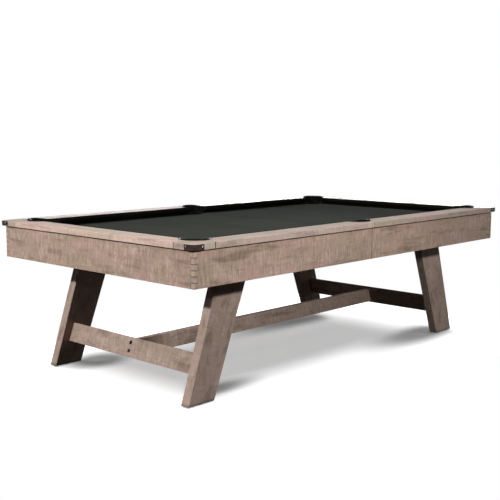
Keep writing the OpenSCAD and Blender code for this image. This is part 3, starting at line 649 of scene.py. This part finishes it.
STRETCHER_H = 0.1
out = Vector((math.cos(LEG_TILT), 0, math.sin(LEG_TILT)))
down = Vector((math.sin(LEG_TILT), 0, -math.cos(LEG_TILT)))
stretcher_hi = box("cross_stretcher_right")[1]
top_edge = Vector((stretcher_hi.x - STRETCHER_H * down.x, 0, stretcher_hi.z))
places = []
for sx in (-1, 1):
    for drop in (0.027, 0.069):
        seat = top_edge + down * drop
        places.append(facing((sx * seat.x, 0, seat.z), (sx * out.x, 0, out.z)))
bolts = new_piece("stretcher_bolt_heads", bolt_builder(places, 0.0078, 0.0048, 0.004, 0.06, 0.0098), BLACK_STEEL)
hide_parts("stretcher_bolts")


# ---- cushions -----------------------------------------------------------------------
def cushion_profile():
    """Closed section (depth behind the nose, height), anticlockwise from the nose: rubber under cloth."""
    top, bed, nose = RAIL_TOP - 0.0008, BED_Z, BED_Z + 0.0352
    pts = [(0.0, nose)]
    # over the nose and up the sloping top, with the cloth tucked down beside the wood
    pts += [(0.0004, nose + 0.0009), (0.0014, nose + 0.0016), (0.0030, nose + 0.0021)]
    pts += [(d, nose + 0.0024 + (top - 0.0003 - nose - 0.0024) * (d - 0.006) / 0.0375)
            for d in (0.006, 0.010, 0.017, 0.026, 0.035, 0.0435)]
    pts += [(0.0466, top - 0.0005), (0.0484, top - 0.0014), (0.0494, top - 0.0030),
            (0.0497, top - 0.0055), (0.0498, top - 0.012), (0.0498, bed + 0.020), (0.0498, bed + 0.0004)]
    # back along the underside to the nose
    pts += [(0.0430, bed + 0.0004), (0.0412, bed + 0.0012), (0.0395, bed + 0.0048), (0.036, bed + 0.0085), (0.028, bed + 0.0125), (0.020, bed + 0.0172),
            (0.013, bed + 0.0222), (0.0078, bed + 0.0268), (0.0040, nose - 0.0052), (0.0018, nose - 0.0035),
            (0.0005, nose - 0.0017)]
    return pts


PROFILE = cushion_profile()


def circle_limit(depth, centre_along, centre_depth, towards):
    """Where the pocket's clearance circle crosses this depth, on the side that faces the cushion."""
    gap = WOOD_CUT_R ** 2 - (centre_depth - depth) ** 2
    return centre_along + towards * math.sqrt(max(gap, 0))


def corner_end(depth, nose_point, centre_along, centre_depth):
    facing = nose_point + depth / math.tan(FACING_CORNER)
    return min(facing, circle_limit(depth, centre_along, centre_depth, -1))


def side_end(depth):
    facing = SIDE_NOSE_X + depth / math.tan(FACING_SIDE)
    return max(facing, circle_limit(depth, 0.0, SIDE_PY - NOSE_Y, 1))


def cushion_builder(start, stop, place, phase):
    """start(depth) and stop(depth) are the ends along the cushion; place maps (along, depth, height) to the table."""
    def build(bm):
        middle = Vector((sum(p[0] for p in PROFILE) / len(PROFILE), sum(p[1] for p in PROFILE) / len(PROFILE)))
        inset = [0.0042, 0.0028, 0.0016, 0.0007, 0.0002, 0.0]
        run = [0.0, 0.0004, 0.0012, 0.0026, 0.0045, 0.0075]
        steps = [(r, i) for r, i in zip(run, inset)]
        cells = 90
        rings = []
        def ring(kind, a, shrink):
            made = []
            for depth, height in PROFILE:
                p = Vector((depth, height))
                inward = middle - p
                if shrink:
                    p = p + inward * min(1.0, shrink / max(inward.length, 1e-6))
                lo, hi = start(depth), stop(depth)
                along = lo + a if kind == "lo" else hi - a if kind == "hi" else lo + (hi - lo) * a
                soft = noise.noise(Vector((along * 9, p.x * 60, phase))) * 0.00022
                made.append(bm.verts.new(place(along, p.x + (0 if p.x > 0.046 else soft), p.y + soft * (p.x < 0.046))))
            return made
        for a, shrink in steps:
            rings.append(ring("lo", a, shrink))
        for i in range(1, cells):
            rings.append(ring("mid", 0.012 + i / cells * 0.976, 0))
        for a, shrink in reversed(steps):
            rings.append(ring("hi", a, shrink))
        grid_faces(bm, rings, close_around=True)
        bm.faces.new(list(reversed(rings[0])))
        bm.faces.new(rings[-1])
        bmesh.ops.recalc_face_normals(bm, faces=bm.faces)
    return build


def long_place(sx, sy):
    return lambda along, depth, height: (sx * along, sy * (NOSE_Y + depth), height)


def end_place(sx):
    return lambda along, depth, height: (sx * (NOSE_X + depth), along, height)


def dressed_cushion(name, builder):
    piece = new_piece(f"{name}_cloth", builder, SHADED_CUSHION_FELT)
    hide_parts(name)
    for polygon in piece.data.polygons:
        if len(polygon.vertices) > 4:
            polygon.use_smooth = False
    return piece


for side in SIDES:
    for end in ENDS:
        sx, sy = sign[end], sign[side]
        dressed_cushion(f"cushion_{side}_{end}", cushion_builder(
            side_end, lambda d: corner_end(d, CORNER_NOSE_X, CORNER_PX, CORNER_PY - NOSE_Y), long_place(sx, sy), sx + 2 * sy))
for end in ENDS:
    end_nose = NOSE_Y - 0.124 / math.sqrt(2)
    stop = lambda d: corner_end(d, end_nose, CORNER_PY, CORNER_PX - NOSE_X)
    dressed_cushion(f"cushion_end_{end}", cushion_builder(lambda d: -stop(d), stop, end_place(sign[end]), 5.5 * sign[end]))


# ---- bed cloth ------------------------------------------------------------------------
def pocket_frames():
    """(name, matrix that carries a pocket opening towards -Y at the origin to its place, reach of its collar)"""
    for side in SIDES:
        sy = sign[side]
        for end in ENDS:
            sx = sign[end]
            yield (f"pocket_{side}_{end}", Matrix.Translation((sx * CORNER_PX, sy * CORNER_PY, 0)) @
                   Matrix.Rotation(math.atan2(sy, sx) - math.radians(90), 4, "Z"), CORNER_REACH)
        yield (f"pocket_{side}_middle", Matrix.Translation((0, sy * SIDE_PY, 0)) @
               Matrix.Rotation(0 if sy > 0 else math.pi, 4, "Z"), SIDE_REACH)


ROLL_R = 0.0045
CLOTH_LIP_R = BUCKET_R - 0.0042


def hole_outline(reach, count=40):
    """Plan of a pocket's cut in the cloth, open towards -Y: the drop edge in front and the collar's base behind."""
    back_r = COLLAR_R + 0.0003
    a = math.asin(-reach / back_r)
    front = math.asin(-reach / (BUCKET_R + 0.001))
    pts = []
    # collar's base, from the right end round the back to the left end
    for i in range(count + 1):
        angle = a + (math.pi - 2 * a) * i / count
        pts.append((back_r * math.cos(angle), back_r * math.sin(angle), False))
    # drop edge, from the left round the front to the right
    r = BUCKET_R + 0.001
    for i in range(count + 1):
        angle = (math.pi - front) + (math.pi + 2 * front) * i / count
        pts.append((r * math.cos(angle), r * math.sin(angle), True))
    return pts


def bed_cloth(bm):
    """A flat sheet with the six cuts; in front of each pocket it rolls over the slate's edge and hangs into the drop."""
    top = BED_Z
    outer = [(-CLOTH_X, -CLOTH_Y), (CLOTH_X, -CLOTH_Y), (CLOTH_X, CLOTH_Y), (-CLOTH_X, CLOTH_Y)]
    loops = [[bm.verts.new((x, y, top)) for x, y in outer]]
    rolls = []
    for name, matrix, reach in pocket_frames():
        ring, drop = [], []
        for x, y, is_drop in hole_outline(reach):
            p = matrix @ Vector((x, y, 0))
            if abs(p.x) > CLOTH_X - 0.0005 or abs(p.y) > CLOTH_Y - 0.0005:
                p = Vector((max(-CLOTH_X + 0.0005, min(CLOTH_X - 0.0005, p.x)), max(-CLOTH_Y + 0.0005, min(CLOTH_Y - 0.0005, p.y)), 0))
            v = bm.verts.new((p.x, p.y, top))
            ring.append(v)
            if is_drop:
                drop.append((v, x, y))
        loops.append(ring)
        rolls.append((matrix, drop))
    bmesh.ops.remove_doubles(bm, verts=bm.verts, dist=1e-6)
    edges = []
    for ring in loops:
        ring = [v for v in ring if v.is_valid]
        for i, v in enumerate(ring):
            w = ring[(i + 1) % len(ring)]
            if v != w and not bm.edges.get((v, w)):
                edges.append(bm.edges.new((v, w)))
    bmesh.ops.triangle_fill(bm, use_beauty=True, use_dissolve=False, edges=edges, normal=(0, 0, 1))
    for matrix, drop in rolls:
        drop = [d for d in drop if d[0].is_valid]
        previous = [d[0] for d in drop]
        for k in range(1, 8):
            if k <= 4:
                bend = math.radians(22.5 * k)
                inward, down = ROLL_R * math.sin(bend), ROLL_R * (1 - math.cos(bend))
            else:
                inward, down = ROLL_R, ROLL_R + 0.004 * (k - 4)
            current = []
            for v, x, y in drop:
                r = math.hypot(x, y)
                share = (r - inward) / r
                p = matrix @ Vector((x * share, y * share, 0))
                current.append(bm.verts.new((p.x, p.y, top - down)))
            for i in range(len(current) - 1):
                bm.faces.new((previous[i], previous[i + 1], current[i + 1], current[i]))
            previous = current
    bmesh.ops.recalc_face_normals(bm, faces=bm.faces)
    if sum(f.normal.z * f.calc_area() for f in bm.faces) < 0:
        bmesh.ops.reverse_faces(bm, faces=bm.faces)


sheet = new_piece("bed_cloth_sheet", bed_cloth, BED_FELT)
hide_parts("bed_cloth")


# ---- pockets ----------------------------------------------------------------------------
def lip_section():
    """Closed section (radius, height) of the collar: a wall behind the wood and a rolled lip over it."""
    z0, wood = SLATE_TOP + 0.0003, RAIL_TOP + 0.0003
    mid, half = (LIP_R + COLLAR_IN_R) / 2, (LIP_R - COLLAR_IN_R) / 2
    pts = [(COLLAR_R, z0), (COLLAR_R, wood), (LIP_R - 0.0004, wood), (LIP_R, wood + 0.0006)]
    for i in range(0, 13):
        a = math.pi * i / 12
        pts.append((mid + half * math.cos(a), LIP_TOP - half + 0.0002 + half * math.sin(a)))
    pts += [(COLLAR_IN_R, RAIL_TOP - 0.004), (COLLAR_IN_R + 0.0012, RAIL_TOP - 0.0055), (COLLAR_IN_R + 0.0014, z0 + 0.016),
            (COLLAR_IN_R + 0.0014, z0 + 0.006), (COLLAR_IN_R + 0.0010, z0 + 0.0015), (COLLAR_IN_R, z0)]
    return pts


def taper(share):
    share = min(1.0, max(0.0, share))
    return share * share * (3 - 2 * share)


def pocket_builder(matrix, reach, polish):
    """Collar with its rolled lip, three nails, the shelf behind the drop, and the bucket."""
    def build(bm):
        section = lip_section()
        centre = Vector((sum(p[0] for p in section) / len(section), sum(p[1] for p in section) / len(section)))
        a0 = math.asin(-reach / COLLAR_R) + 0.004
        steps = 72
        ends = [(0.0, 0.55), (0.0008, 0.28), (0.002, 0.12), (0.0038, 0.03)]
        angles = [(a0 + s / COLLAR_R, shrink) for s, shrink in ends]
        first, last = a0 + 0.0055 / COLLAR_R, math.pi - a0 - 0.0055 / COLLAR_R
        angles += [(first + (last - first) * i / steps, 0) for i in range(steps + 1)]
        angles += [(math.pi - a0 - s / COLLAR_R, shrink) for s, shrink in reversed(ends)]
        rings = []
        for angle, shrink in angles:
            ring = []
            rise = taper((COLLAR_R * math.sin(angle) + reach) / (COLLAR_R + reach))
            for r, z in section:
                if z > RAIL_TOP + 0.0002:
                    z = RAIL_TOP + 0.0002 + (z - RAIL_TOP - 0.0002) * (0.12 + 0.88 * rise)
                    r = COLLAR_R - 0.0035 + (r - COLLAR_R + 0.0035) * (0.62 + 0.38 * rise)
                r += (centre.x - r) * shrink
                z += (centre.y - z) * shrink * 0.35
                ring.append(bm.verts.new(matrix @ Vector((r * math.cos(angle), r * math.sin(angle), z))))
            rings.append(ring)
        grid_faces(bm, rings, close_around=True)
        bm.faces.new(list(reversed(rings[0])))
        bm.faces.new(rings[-1])
        # shelf behind the drop, from the collar to the bucket's rim
        shelf_z = SLATE_TOP + 0.0003
        s0 = math.asin(-reach / COLLAR_R) + 0.03
        shelf = []
        for i in range(steps + 1):
            angle = s0 + (math.pi - 2 * s0) * i / steps
            c, s = math.cos(angle), math.sin(angle)
            shelf.append([bm.verts.new(matrix @ Vector((r * c, r * s, z))) for r, z in (
                (COLLAR_IN_R + 0.003, shelf_z + 0.0036), (BUCKET_R + 0.004, shelf_z + 0.0034), (BUCKET_R - 0.0005, shelf_z + 0.0026),
                (BUCKET_R - 0.0032, shelf_z + 0.0004), (BUCKET_R - 0.0036, shelf_z - 0.004), (BUCKET_R - 0.001, shelf_z - 0.0062),
                (BUCKET_R - 0.001, shelf_z), (COLLAR_IN_R + 0.003, shelf_z))])
        grid_faces(bm, shelf, close_around=True)
        bm.faces.new(list(reversed(shelf[0])))
        bm.faces.new(shelf[-1])
        # nails that hold the collar to the wood, set in its inside
        for turn in (35, 90, 145):
            angle = math.radians(turn)
            outward = Vector((math.cos(angle), math.sin(angle), 0))
            seat = Matrix.Translation(outward * (COLLAR_IN_R + 0.0016) + Vector((0, 0, RAIL_TOP - 0.017))) @ (
                (-outward).to_track_quat("Z", "Y").to_matrix().to_4x4())
            dome = [(0.0046, -0.001), (0.0046, 0.0003), (0.0043, 0.0009), (0.0034, 0.0015), (0.0021, 0.0020), (0.0008, 0.0022)]
            rings = [bolt_ring(bm, matrix @ seat, 16, r, z) for r, z in dome]
            grid_faces(bm, rings, close_around=True)
            bm.faces.new(list(reversed(rings[0])))
            bm.faces.new(rings[-1])
            for f in bm.faces[-16 * 5 - 2:]:
                f.material_index = 2
        # bucket: a ribbed wall with a rounded bottom and a round hole in its middle
        inner, outer = BUCKET_R - 0.0035, BUCKET_R - 0.0002
        wall = [(outer, SLATE_TOP - 0.0004), (outer, SLATE_TOP - 0.03), (outer, BUCKET_Z + 0.014), (outer - 0.004, BUCKET_Z + 0.004),
                (outer - 0.012, BUCKET_Z + 0.0002), (0.012, BUCKET_Z + 0.0002), (0.012, BUCKET_Z + 0.0035),
                (inner - 0.012, BUCKET_Z + 0.0035), (inner - 0.004, BUCKET_Z + 0.007), (inner, BUCKET_Z + 0.016),
                (inner, SLATE_TOP - 0.03), (inner, SLATE_TOP - 0.0024), (inner + 0.0012, SLATE_TOP - 0.0004)]
        bucket = []
        around = 72
        for i in range(around):
            angle = 2 * math.pi * i / around
            rib = 0.0009 if i % 6 == 0 else 0
            c, s = math.cos(angle), math.sin(angle)
            bucket.append([bm.verts.new(matrix @ Vector(((r - (rib if r < inner + 0.0001 and z > BUCKET_Z + 0.01 else 0)) * c,
                                                         (r - (rib if r < inner + 0.0001 and z > BUCKET_Z + 0.01 else 0)) * s, z)))
                           for r, z in wall])
        grid_faces(bm, bucket, close_around=True, close_along=True)
        bmesh.ops.recalc_face_normals(bm, faces=bm.faces)
        # only the lip is polished: up to its outer edge on the front left pocket, to 5 mm short of it on the others
        to_pocket = matrix.inverted()
        for f in bm.faces:
            centre = to_pocket @ f.calc_center_median()
            if f.material_index == 0 and (centre.z < RAIL_TOP - 0.006 or math.hypot(centre.x, centre.y) > polish):
                f.material_index = 1
    return build


for name, matrix, reach in pocket_frames():
    polish = LIP_R if name == "pocket_front_left" else LIP_R - 0.005
    liner = new_piece(f"{name}_liner", pocket_builder(matrix, reach, polish), RUBBER)
    liner.data.materials.append(DULL)
    liner.data.materials.append(BLACK_STEEL)
    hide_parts(name)


# ---- floor, world and lamps -----------------------------------------------------------
FLOOR_HALF = 40.0
# painted shadow: near the table the floor's own glow is lowered to this, standing for the table's shadow
FLOOR_SHADE = 0.486         # the floor under the table, where none of its lamps reaches
FLOOR_SIDE = 0.52           # what each of the floor's lamps adds
# painted shadow, soft, under each leaning leg: centre out along x and y, reach inwards and outwards along x, half width
# along y
FOOT_POOLS = {("front", "left"): (0.93, 0.392, 0.53, 0.05, 0.13), ("front", "right"): (1.03, 0.462, 0.90, 0.20, 0.215),
              ("back", "left"): (0.88, 0.440, 0.30, 0.30, 0.20), ("back", "right"): (0.81, 0.363, 1.15, 0.17, 0.224)}


def floor_builder(bm):
    bm.faces.new([bm.verts.new((x * FLOOR_HALF, y * FLOOR_HALF, 0)) for x, y in ((-1, -1), (1, -1), (1, 1), (-1, 1))])


def foot_shade(t, xyz, side, end):
    """Painted shadow round one foot, as the share of the floor's light left: 1 away from it, less where the leg leans
    over the floor.
    """
    centre_x, centre_y, reach_in, reach_out, half_width = FOOT_POOLS[side, end]
    dx = math_node(t, "MULTIPLY_ADD", xyz.outputs[0], sign[end], -centre_x)
    dy = math_node(t, "MULTIPLY_ADD", xyz.outputs[1], sign[side], -centre_y)
    u = math_node(t, "MAXIMUM", math_node(t, "DIVIDE", dx, reach_out), math_node(t, "DIVIDE", dx, -reach_in))
    v = math_node(t, "DIVIDE", dy, half_width)
    away = math_node(t, "SQRT", math_node(t, "MULTIPLY_ADD", u, u, math_node(t, "MULTIPLY", v, v)))
    return span(t, away, 0.25, 1.0, 0.25, 1.0)


def floor_material():
    """White to the camera and to reflections, with the table's shadow, partly cast by its lamps and partly painted;
    nearly black to light that bounces.
    """
    material, t = new_material("floor")
    path = add(t, "LightPath")
    seen = math_node(t, "MAXIMUM", path.outputs["Is Glossy Ray"], path.outputs["Is Transmission Ray"])
    # near the table: a dimmer glow and painted shadows round the feet stand for the table's shadow, with its lamps'
    # light on top; evenly white beyond it
    xyz = add(t, "SeparateXYZ", {0: add(t, "TexCoord").outputs["Object"]})
    near_x = span(t, math_node(t, "ABSOLUTE", xyz.outputs[0]), CAB_X + 0.1, CAB_X + 0.35, 1.0, 0.0)
    near_y = span(t, math_node(t, "ABSOLUTE", xyz.outputs[1]), CAB_Y + 0.1, CAB_Y + 0.35, 1.0, 0.0)
    near = math_node(t, "MULTIPLY", near_x, near_y)
    painted_floor_shadow = 1.0
    for side in SIDES:
        for end in ENDS:
            painted_floor_shadow = math_node(t, "MULTIPLY", painted_floor_shadow, foot_shade(t, xyz, side, end))
    glow = add(t, "Emission", {"Strength": math_node(t, "MULTIPLY_ADD", math_node(
        t, "MULTIPLY", near, math_node(t, "SUBTRACT", math_node(t, "MULTIPLY", painted_floor_shadow, FLOOR_SHADE), 1.0)), 1.0, 1.0)})
    lit = add(t, "BsdfDiffuse", {"Color": grey(t, math_node(t, "MULTIPLY", near, painted_floor_shadow))})
    shown = add(t, "AddShader", {0: glow.outputs[0], 1: lit.outputs[0]})
    white = add(t, "Emission", {"Strength": 0.9})
    dark = add(t, "BsdfDiffuse", {"Color": (0.006, 0.006, 0.006, 1)})
    other = add(t, "MixShader", {0: seen, 1: dark.outputs[0], 2: white.outputs[0]})
    both = add(t, "MixShader", {0: path.outputs["Is Camera Ray"], 1: other.outputs[0], 2: shown.outputs[0]})
    output = add(t, "OutputMaterial")
    t.links.new(both.outputs[0], output.inputs[0])
    return material


floor_mesh = bpy.data.meshes.new("floor")
bm = bmesh.new()
floor_builder(bm)
bm.to_mesh(floor_mesh)
bm.free()
floor = bpy.data.objects.new("floor", floor_mesh)
floor_mesh.materials.append(floor_material())
scene.collection.objects.link(floor)

world = bpy.data.worlds.new("studio")
scene.world = world
world.use_nodes = True
wt = world.node_tree
wt.nodes.clear()
path = add(wt, "LightPath")
seen = math_node(wt, "MAXIMUM", path.outputs["Is Camera Ray"],
                 math_node(wt, "MAXIMUM", path.outputs["Is Glossy Ray"], path.outputs["Is Transmission Ray"]))
AMBIENT = 0.022
background = add(wt, "Background", {"Color": (1, 1, 1, 1), "Strength": span(wt, seen, 0, 1, AMBIENT, 1.0, smooth=False)})
wt.links.new(background.outputs[0], add(wt, "OutputWorld").inputs[0])


def sun(name, azimuth, elevation, level, angle, leave_out=(), only=("",)):
    """A lamp far away that lights a face square to it at this level; it comes from azimuth (0 is -Y, 90 is +X)."""
    data = bpy.data.lights.new(name, "SUN")
    data.energy = math.pi * level
    data.angle = math.radians(angle)
    lamp = bpy.data.objects.new(name, data)
    scene.collection.objects.link(lamp)
    a, e = math.radians(azimuth), math.radians(elevation)
    towards = Vector((math.sin(a) * math.cos(e), -math.cos(a) * math.cos(e), math.sin(e)))
    lamp.rotation_mode = "QUATERNION"
    lamp.rotation_quaternion = towards.to_track_quat("Z", "Y")
    lamp.location = towards * 5
    group = bpy.data.collections.new(f"{name}_lit")
    for o in scene.objects:
        if o.type == "MESH" and o.name.startswith(only) and not o.name.startswith(leave_out):
            group.objects.link(o)
    lamp.light_linking.receiver_collection = group
    return lamp


def bulb(name, place, power, radius, leave_out=(), only=("",)):
    lamp = sun(name, 0, 45, 1, 1, leave_out, only)
    data = bpy.data.lights.new(name, "POINT")
    data.energy = power
    data.shadow_soft_size = radius
    lamp.data = data
    lamp.location = place
    return lamp


def key(name, face, away, level, radius, leave_out=(), only=("",), tilt=28):
    """A bulb this far in front of an upright face, tilted down at it, that lights it at this level."""
    high = away.length * math.tan(math.radians(tilt))
    power = level * 4 * math.pi ** 2 * (away.length ** 2 + high ** 2) ** 1.5 / away.length
    bulb(name, face + away + Vector((0, 0, high)), power, radius, leave_out, only)


sun("overhead", 0, 89.9, 0.05, 60, ("floor",))
key("left_key", Vector((-CAB_X, 0.45, APRON_Z)), Vector((-4.3, 0, 0)), 0.97, 0.12, ("floor",))
FRONT_FACE, FRONT_AWAY = Vector((-0.8, -CAB_Y, APRON_Z)), Vector((0, -2.12, 0))
key("front_key", FRONT_FACE, FRONT_AWAY, 0.84, 0.1, ("floor", "leg", "cross_stretcher_right", "long_stretcher"))
key("leg_key", FRONT_FACE, Vector((0, -2.9, 0)), 0.62, 0.13, only=("leg_front",))
key("stretcher_key", Vector((-0.7, -0.015, 0.17)), Vector((0, -1.9, 0)), 0.5, 0.3, only=("long_stretcher",), tilt=18)
sun("right_fill", 90, 3, 0.6, 6.0, ("floor",))
sun("back_fill", 180, 3, 0.6, 6.0, ("floor",))
# gloss alone along the far rails
for rim in (sun("rim_end", 118, 5, 0.75, 24, (), ("rail_end_right", "corner_block_back_right", "corner_block_front_right")),
            sun("rim_back_left", 137, 5, 0.2, 24, (), ("rail_back_left",)),
            sun("rim_back_right", 133, 5, 1.05, 24, (), ("rail_back_right",)),
            sun("pocket_gloss", 135, 70, 5.0, 30, (), ("pocket_back", "pocket_front_right")),
            sun("bolt_gloss_left", -135, 28, 15.0, 46, (), ("bracket_bolt_heads",)),
            sun("bolt_gloss_right", 45, 28, 15.0, 46, (), ("bracket_bolt_heads",))):
    rim.visible_diffuse = False
# the floor's own lamps look in under the table from its four sides, past its legs and cabinet alone
blockers = bpy.data.collections.new("floor_blockers")
for o in scene.objects:
    if o.type == "MESH" and o.name.startswith(("leg_front", "leg_back", "apron", "slate_left", "slate_middle", "slate_right", "pocket")):
        blockers.objects.link(o)
for name, azimuth, elevation, angle in (("left", -90, 61, 19), ("right", 90, 57.3, 24), ("front", 0, 60.9, 16.5),
                                        ("back", 180, 60, 18)):
    lamp = sun(f"floor_{name}", azimuth, elevation, FLOOR_SIDE / math.sin(math.radians(elevation)), angle, (), ("floor",))
    lamp.light_linking.blocker_collection = blockers
